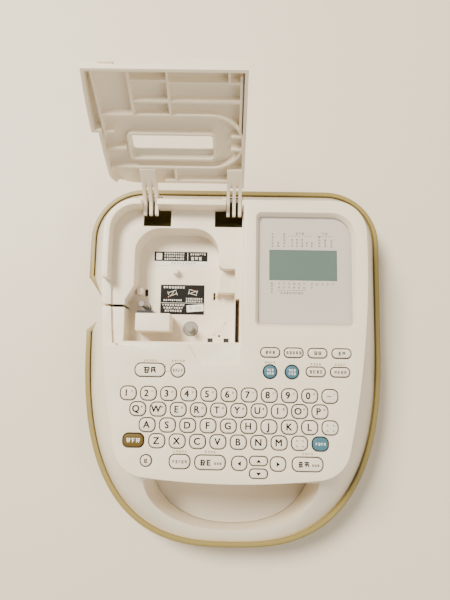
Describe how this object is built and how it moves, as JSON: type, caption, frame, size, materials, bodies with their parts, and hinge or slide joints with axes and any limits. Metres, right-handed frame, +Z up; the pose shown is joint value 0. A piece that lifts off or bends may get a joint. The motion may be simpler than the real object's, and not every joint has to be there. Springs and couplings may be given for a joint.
{
  "type": "label maker",
  "caption": "Desk label maker with a full keyboard, a small display, a flip-up lid over a tape cassette bay and a carrying slot in front.",
  "frame": {"origin": "centre of the bounding box's bottom face with the lid open: the plane of the feet", "axes": "+X to the right across the keyboard, +Y from the carrying slot to the lid's hinge, +Z up"},
  "size_m": [0.18, 0.2444, 0.1237],
  "materials": {
    "case_white": "fine satin, warm off-white",
    "case_khaki": "fine satin, khaki",
    "tray_white": "satin, warm off-white",
    "clear": "clear plastic, polished",
    "steel": "plain steel",
    "mask_silver": "printed silver-grey",
    "lcd_green": "grey-green liquid crystal panel",
    "pad_grey": "matte rubber sheet",
    "board_green": "green circuit board",
    "head_black": "black ceramic and resin",
    "gear_grey": "grey acetal",
    "gear_white": "white acetal",
    "pinion_brass": "turned brass",
    "motor_steel": "drawn steel can",
    "blade_steel": "ground steel",
    "sensor_black": "black plastic",
    "spring_bronze": "dark spring bronze",
    "label_black": "printed label",
    "cell_blue": "wrapped cell",
    "contact_steel": "plated contact springs",
    "foot_rubber": "matte rubber",
    "screw_steel": "zinc-plated steel",
    "jack_black": "black plastic",
    "key_white": "satin, warm off-white",
    "key_blue": "satin, grey-blue",
    "key_khaki": "satin, dark khaki"
  },
  "bodies": {
    "case": {"lower_case": "case_khaki", "upper_case": "case_white", "deck_panel": "case_white", "bay_tray": "tray_white", "hinge_pin_left": "steel", "hinge_pin_right": "steel", "display_window": "clear", "display_mask": "mask_silver", "lcd_module": "lcd_green", "keypad_sheet": "pad_grey", "main_board": "board_green", "head_cover": "tray_white", "print_head": "head_black", "gear_axle": "steel", "drive_motor": "motor_steel", "gear_plate": "steel", "fixed_blade": "blade_steel", "cassette_spring": "spring_bronze", "bay_label_upper": "label_black", "bay_label_lower": "label_black", "battery_cells": "cell_blue", "battery_contacts": "contact_steel", "feet": "foot_rubber", "case_screws": "screw_steel", "dc_jack": "jack_black"},
    "lid": {"cassette_lid": "case_white", "lid_window": "clear"},
    "cover": {"battery_cover": "case_khaki"},
    "reduction": {"reduction_gear": "gear_white"},
    "platen": {"platen_spindle": "gear_grey", "platen_gear": "gear_grey"},
    "ribbon": {"ribbon_spindle": "gear_grey", "ribbon_gear": "gear_grey"},
    "pinion": {"motor_pinion": "pinion_brass"},
    "blade": {"cutter_blade": "blade_steel"},
    "sensor": {"cassette_sensor": "sensor_black"},
    "print_button": {"print_key": "key_white"},
    "preview_button": {"preview_key": "key_white"},
    "layout_button": {"layout_key": "key_white"},
    "size_button": {"size_key": "key_white"},
    "style_button": {"style_key": "key_white"},
    "edit_button": {"edit_key": "key_white"},
    "cancel_button": {"cancel_key": "key_blue"},
    "erase_button": {"erase_key": "key_blue"},
    "file_button": {"file_key": "key_white"},
    "setup_button": {"setup_key": "key_white"},
    "shift_button": {"shift_key": "key_khaki"},
    "return_button": {"return_key": "key_blue"},
    "power_button": {"power_key": "key_white"},
    "mode_button": {"mode_key": "key_white"},
    "space_button": {"space_key": "key_white"},
    "left_button": {"left_key": "key_white"},
    "up_button": {"up_key": "key_white"},
    "down_button": {"down_key": "key_white"},
    "right_button": {"right_key": "key_white"},
    "select_button": {"select_key": "key_white"},
    "number_row_keys": {"number_row": "key_white"},
    "q_row_keys": {"q_row": "key_white"},
    "a_row_keys": {"a_row": "key_white"},
    "z_row_keys": {"z_row": "key_white"}
  },
  "joints": [
    {"name": "lid_hinge", "type": "hinge", "parent": "case", "child": "lid", "pos_m": [0, 0.0787, 0.0474], "axis": [1, 0, 0], "range_deg": [0, 115]},
    {"name": "print_press", "type": "slide", "parent": "case", "child": "print_button", "axis": [0, 0, -1], "range_m": [0, 0.0009], "stiffness_N_per_m": 400, "springref_m": -0.0003},
    {"name": "preview_press", "type": "slide", "parent": "case", "child": "preview_button", "axis": [0, 0, -1], "range_m": [0, 0.0009], "stiffness_N_per_m": 400, "springref_m": -0.0003},
    {"name": "layout_press", "type": "slide", "parent": "case", "child": "layout_button", "axis": [0, 0, -1], "range_m": [0, 0.0009], "stiffness_N_per_m": 400, "springref_m": -0.0003},
    {"name": "size_press", "type": "slide", "parent": "case", "child": "size_button", "axis": [0, 0, -1], "range_m": [0, 0.0009], "stiffness_N_per_m": 400, "springref_m": -0.0003},
    {"name": "style_press", "type": "slide", "parent": "case", "child": "style_button", "axis": [0, 0, -1], "range_m": [0, 0.0009], "stiffness_N_per_m": 400, "springref_m": -0.0003},
    {"name": "edit_press", "type": "slide", "parent": "case", "child": "edit_button", "axis": [0, 0, -1], "range_m": [0, 0.0009], "stiffness_N_per_m": 400, "springref_m": -0.0003},
    {"name": "cancel_press", "type": "slide", "parent": "case", "child": "cancel_button", "axis": [0, 0, -1], "range_m": [0, 0.0009], "stiffness_N_per_m": 400, "springref_m": -0.0003},
    {"name": "erase_press", "type": "slide", "parent": "case", "child": "erase_button", "axis": [0, 0, -1], "range_m": [0, 0.0009], "stiffness_N_per_m": 400, "springref_m": -0.0003},
    {"name": "file_press", "type": "slide", "parent": "case", "child": "file_button", "axis": [0, 0, -1], "range_m": [0, 0.0009], "stiffness_N_per_m": 400, "springref_m": -0.0003},
    {"name": "setup_press", "type": "slide", "parent": "case", "child": "setup_button", "axis": [0, 0, -1], "range_m": [0, 0.0009], "stiffness_N_per_m": 400, "springref_m": -0.0003},
    {"name": "shift_press", "type": "slide", "parent": "case", "child": "shift_button", "axis": [0, 0, -1], "range_m": [0, 0.0009], "stiffness_N_per_m": 400, "springref_m": -0.0003},
    {"name": "return_press", "type": "slide", "parent": "case", "child": "return_button", "axis": [0, 0, -1], "range_m": [0, 0.0009], "stiffness_N_per_m": 400, "springref_m": -0.0003},
    {"name": "power_press", "type": "slide", "parent": "case", "child": "power_button", "axis": [0, 0, -1], "range_m": [0, 0.0009], "stiffness_N_per_m": 400, "springref_m": -0.0003},
    {"name": "mode_press", "type": "slide", "parent": "case", "child": "mode_button", "axis": [0, 0, -1], "range_m": [0, 0.0009], "stiffness_N_per_m": 400, "springref_m": -0.0003},
    {"name": "space_press", "type": "slide", "parent": "case", "child": "space_button", "axis": [0, 0, -1], "range_m": [0, 0.0009], "stiffness_N_per_m": 400, "springref_m": -0.0003},
    {"name": "left_press", "type": "slide", "parent": "case", "child": "left_button", "axis": [0, 0, -1], "range_m": [0, 0.0009], "stiffness_N_per_m": 400, "springref_m": -0.0003},
    {"name": "up_press", "type": "slide", "parent": "case", "child": "up_button", "axis": [0, 0, -1], "range_m": [0, 0.0009], "stiffness_N_per_m": 400, "springref_m": -0.0003},
    {"name": "down_press", "type": "slide", "parent": "case", "child": "down_button", "axis": [0, 0, -1], "range_m": [0, 0.0009], "stiffness_N_per_m": 400, "springref_m": -0.0003},
    {"name": "right_press", "type": "slide", "parent": "case", "child": "right_button", "axis": [0, 0, -1], "range_m": [0, 0.0009], "stiffness_N_per_m": 400, "springref_m": -0.0003},
    {"name": "select_press", "type": "slide", "parent": "case", "child": "select_button", "axis": [0, 0, -1], "range_m": [0, 0.0009], "stiffness_N_per_m": 400, "springref_m": -0.0003},
    {"name": "number_row_press", "type": "slide", "parent": "case", "child": "number_row_keys", "axis": [0, 0, -1], "range_m": [0, 0.0009], "stiffness_N_per_m": 1200, "springref_m": -0.0003},
    {"name": "q_row_press", "type": "slide", "parent": "case", "child": "q_row_keys", "axis": [0, 0, -1], "range_m": [0, 0.0009], "stiffness_N_per_m": 1200, "springref_m": -0.0003},
    {"name": "a_row_press", "type": "slide", "parent": "case", "child": "a_row_keys", "axis": [0, 0, -1], "range_m": [0, 0.0009], "stiffness_N_per_m": 1200, "springref_m": -0.0003},
    {"name": "z_row_press", "type": "slide", "parent": "case", "child": "z_row_keys", "axis": [0, 0, -1], "range_m": [0, 0.0009], "stiffness_N_per_m": 1200, "springref_m": -0.0003},
    {"name": "battery_cover_slide", "type": "slide", "parent": "case", "child": "cover", "axis": [0, 0, -1], "range_m": [0, 0.02]},
    {"name": "reduction_spin", "type": "hinge", "parent": "case", "child": "reduction", "pos_m": [-0.03044, 0.02945, 0.019], "axis": [0, 0, 1], "continuous": true},
    {"name": "platen_spin", "type": "hinge", "parent": "case", "child": "platen", "pos_m": [-0.0537, 0.0175, 0.03], "axis": [0, 0, 1], "continuous": true},
    {"name": "ribbon_spin", "type": "hinge", "parent": "case", "child": "ribbon", "pos_m": [-0.026, 0.0045, 0.03], "axis": [0, 0, 1], "continuous": true},
    {"name": "pinion_spin", "type": "hinge", "parent": "case", "child": "pinion", "pos_m": [-0.00692, 0.02615, 0.019], "axis": [0, 0, 1], "continuous": true},
    {"name": "cutter_slide", "type": "slide", "parent": "case", "child": "blade", "axis": [0, 1, 0], "range_m": [0, 0.003], "stiffness_N_per_m": 200, "springref_m": -0.001},
    {"name": "cassette_sensor_press", "type": "slide", "parent": "case", "child": "sensor", "axis": [0, 0, -1], "range_m": [0, 0.001], "stiffness_N_per_m": 150, "springref_m": -0.0008}
  ],
  "couplings": [
    {"joint": "platen_spin", "follows": "reduction_spin", "ratio": -2.25},
    {"joint": "ribbon_spin", "follows": "reduction_spin", "ratio": -2.5},
    {"joint": "pinion_spin", "follows": "reduction_spin", "ratio": -3.2143}
  ]
}
